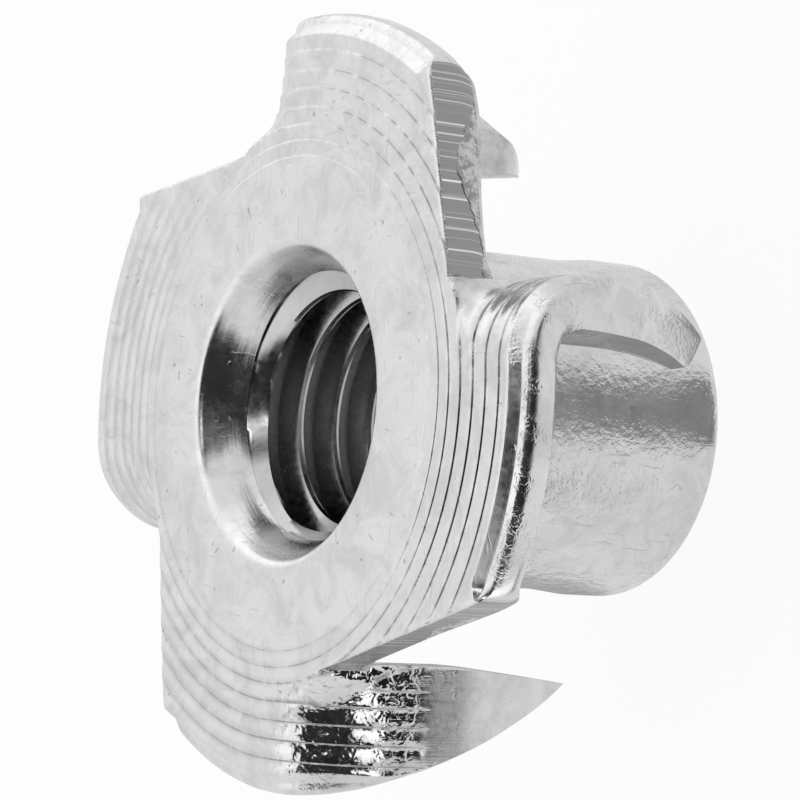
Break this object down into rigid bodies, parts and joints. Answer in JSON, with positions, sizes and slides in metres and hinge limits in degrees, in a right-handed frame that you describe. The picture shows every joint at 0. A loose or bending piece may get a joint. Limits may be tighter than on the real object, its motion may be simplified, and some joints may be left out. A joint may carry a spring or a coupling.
{
  "type": "tee nut",
  "caption": "Tee nut pressed from one sheet: an internally threaded barrel opening into a round ridged flange whose rim is bent back into pointed prongs.",
  "frame": {"origin": "centre of the barrel's open end, on the thread axis, which is the bottom centre of the part as it stands on its barrel with the flange on top", "axes": "+Z along the thread axis, from the barrel's open end to the flange's front face; looking down on that face, +X is to the right and +Y is up, and the lobe named top in the report lies along +Y"},
  "size_m": [0.022, 0.022, 0.012],
  "materials": {
    "zinc_plated_steel": "bright zinc plating, lightly scratched and pitted"
  },
  "bodies": {
    "root": {"tee_nut": "zinc_plated_steel"}
  },
  "joints": []
}
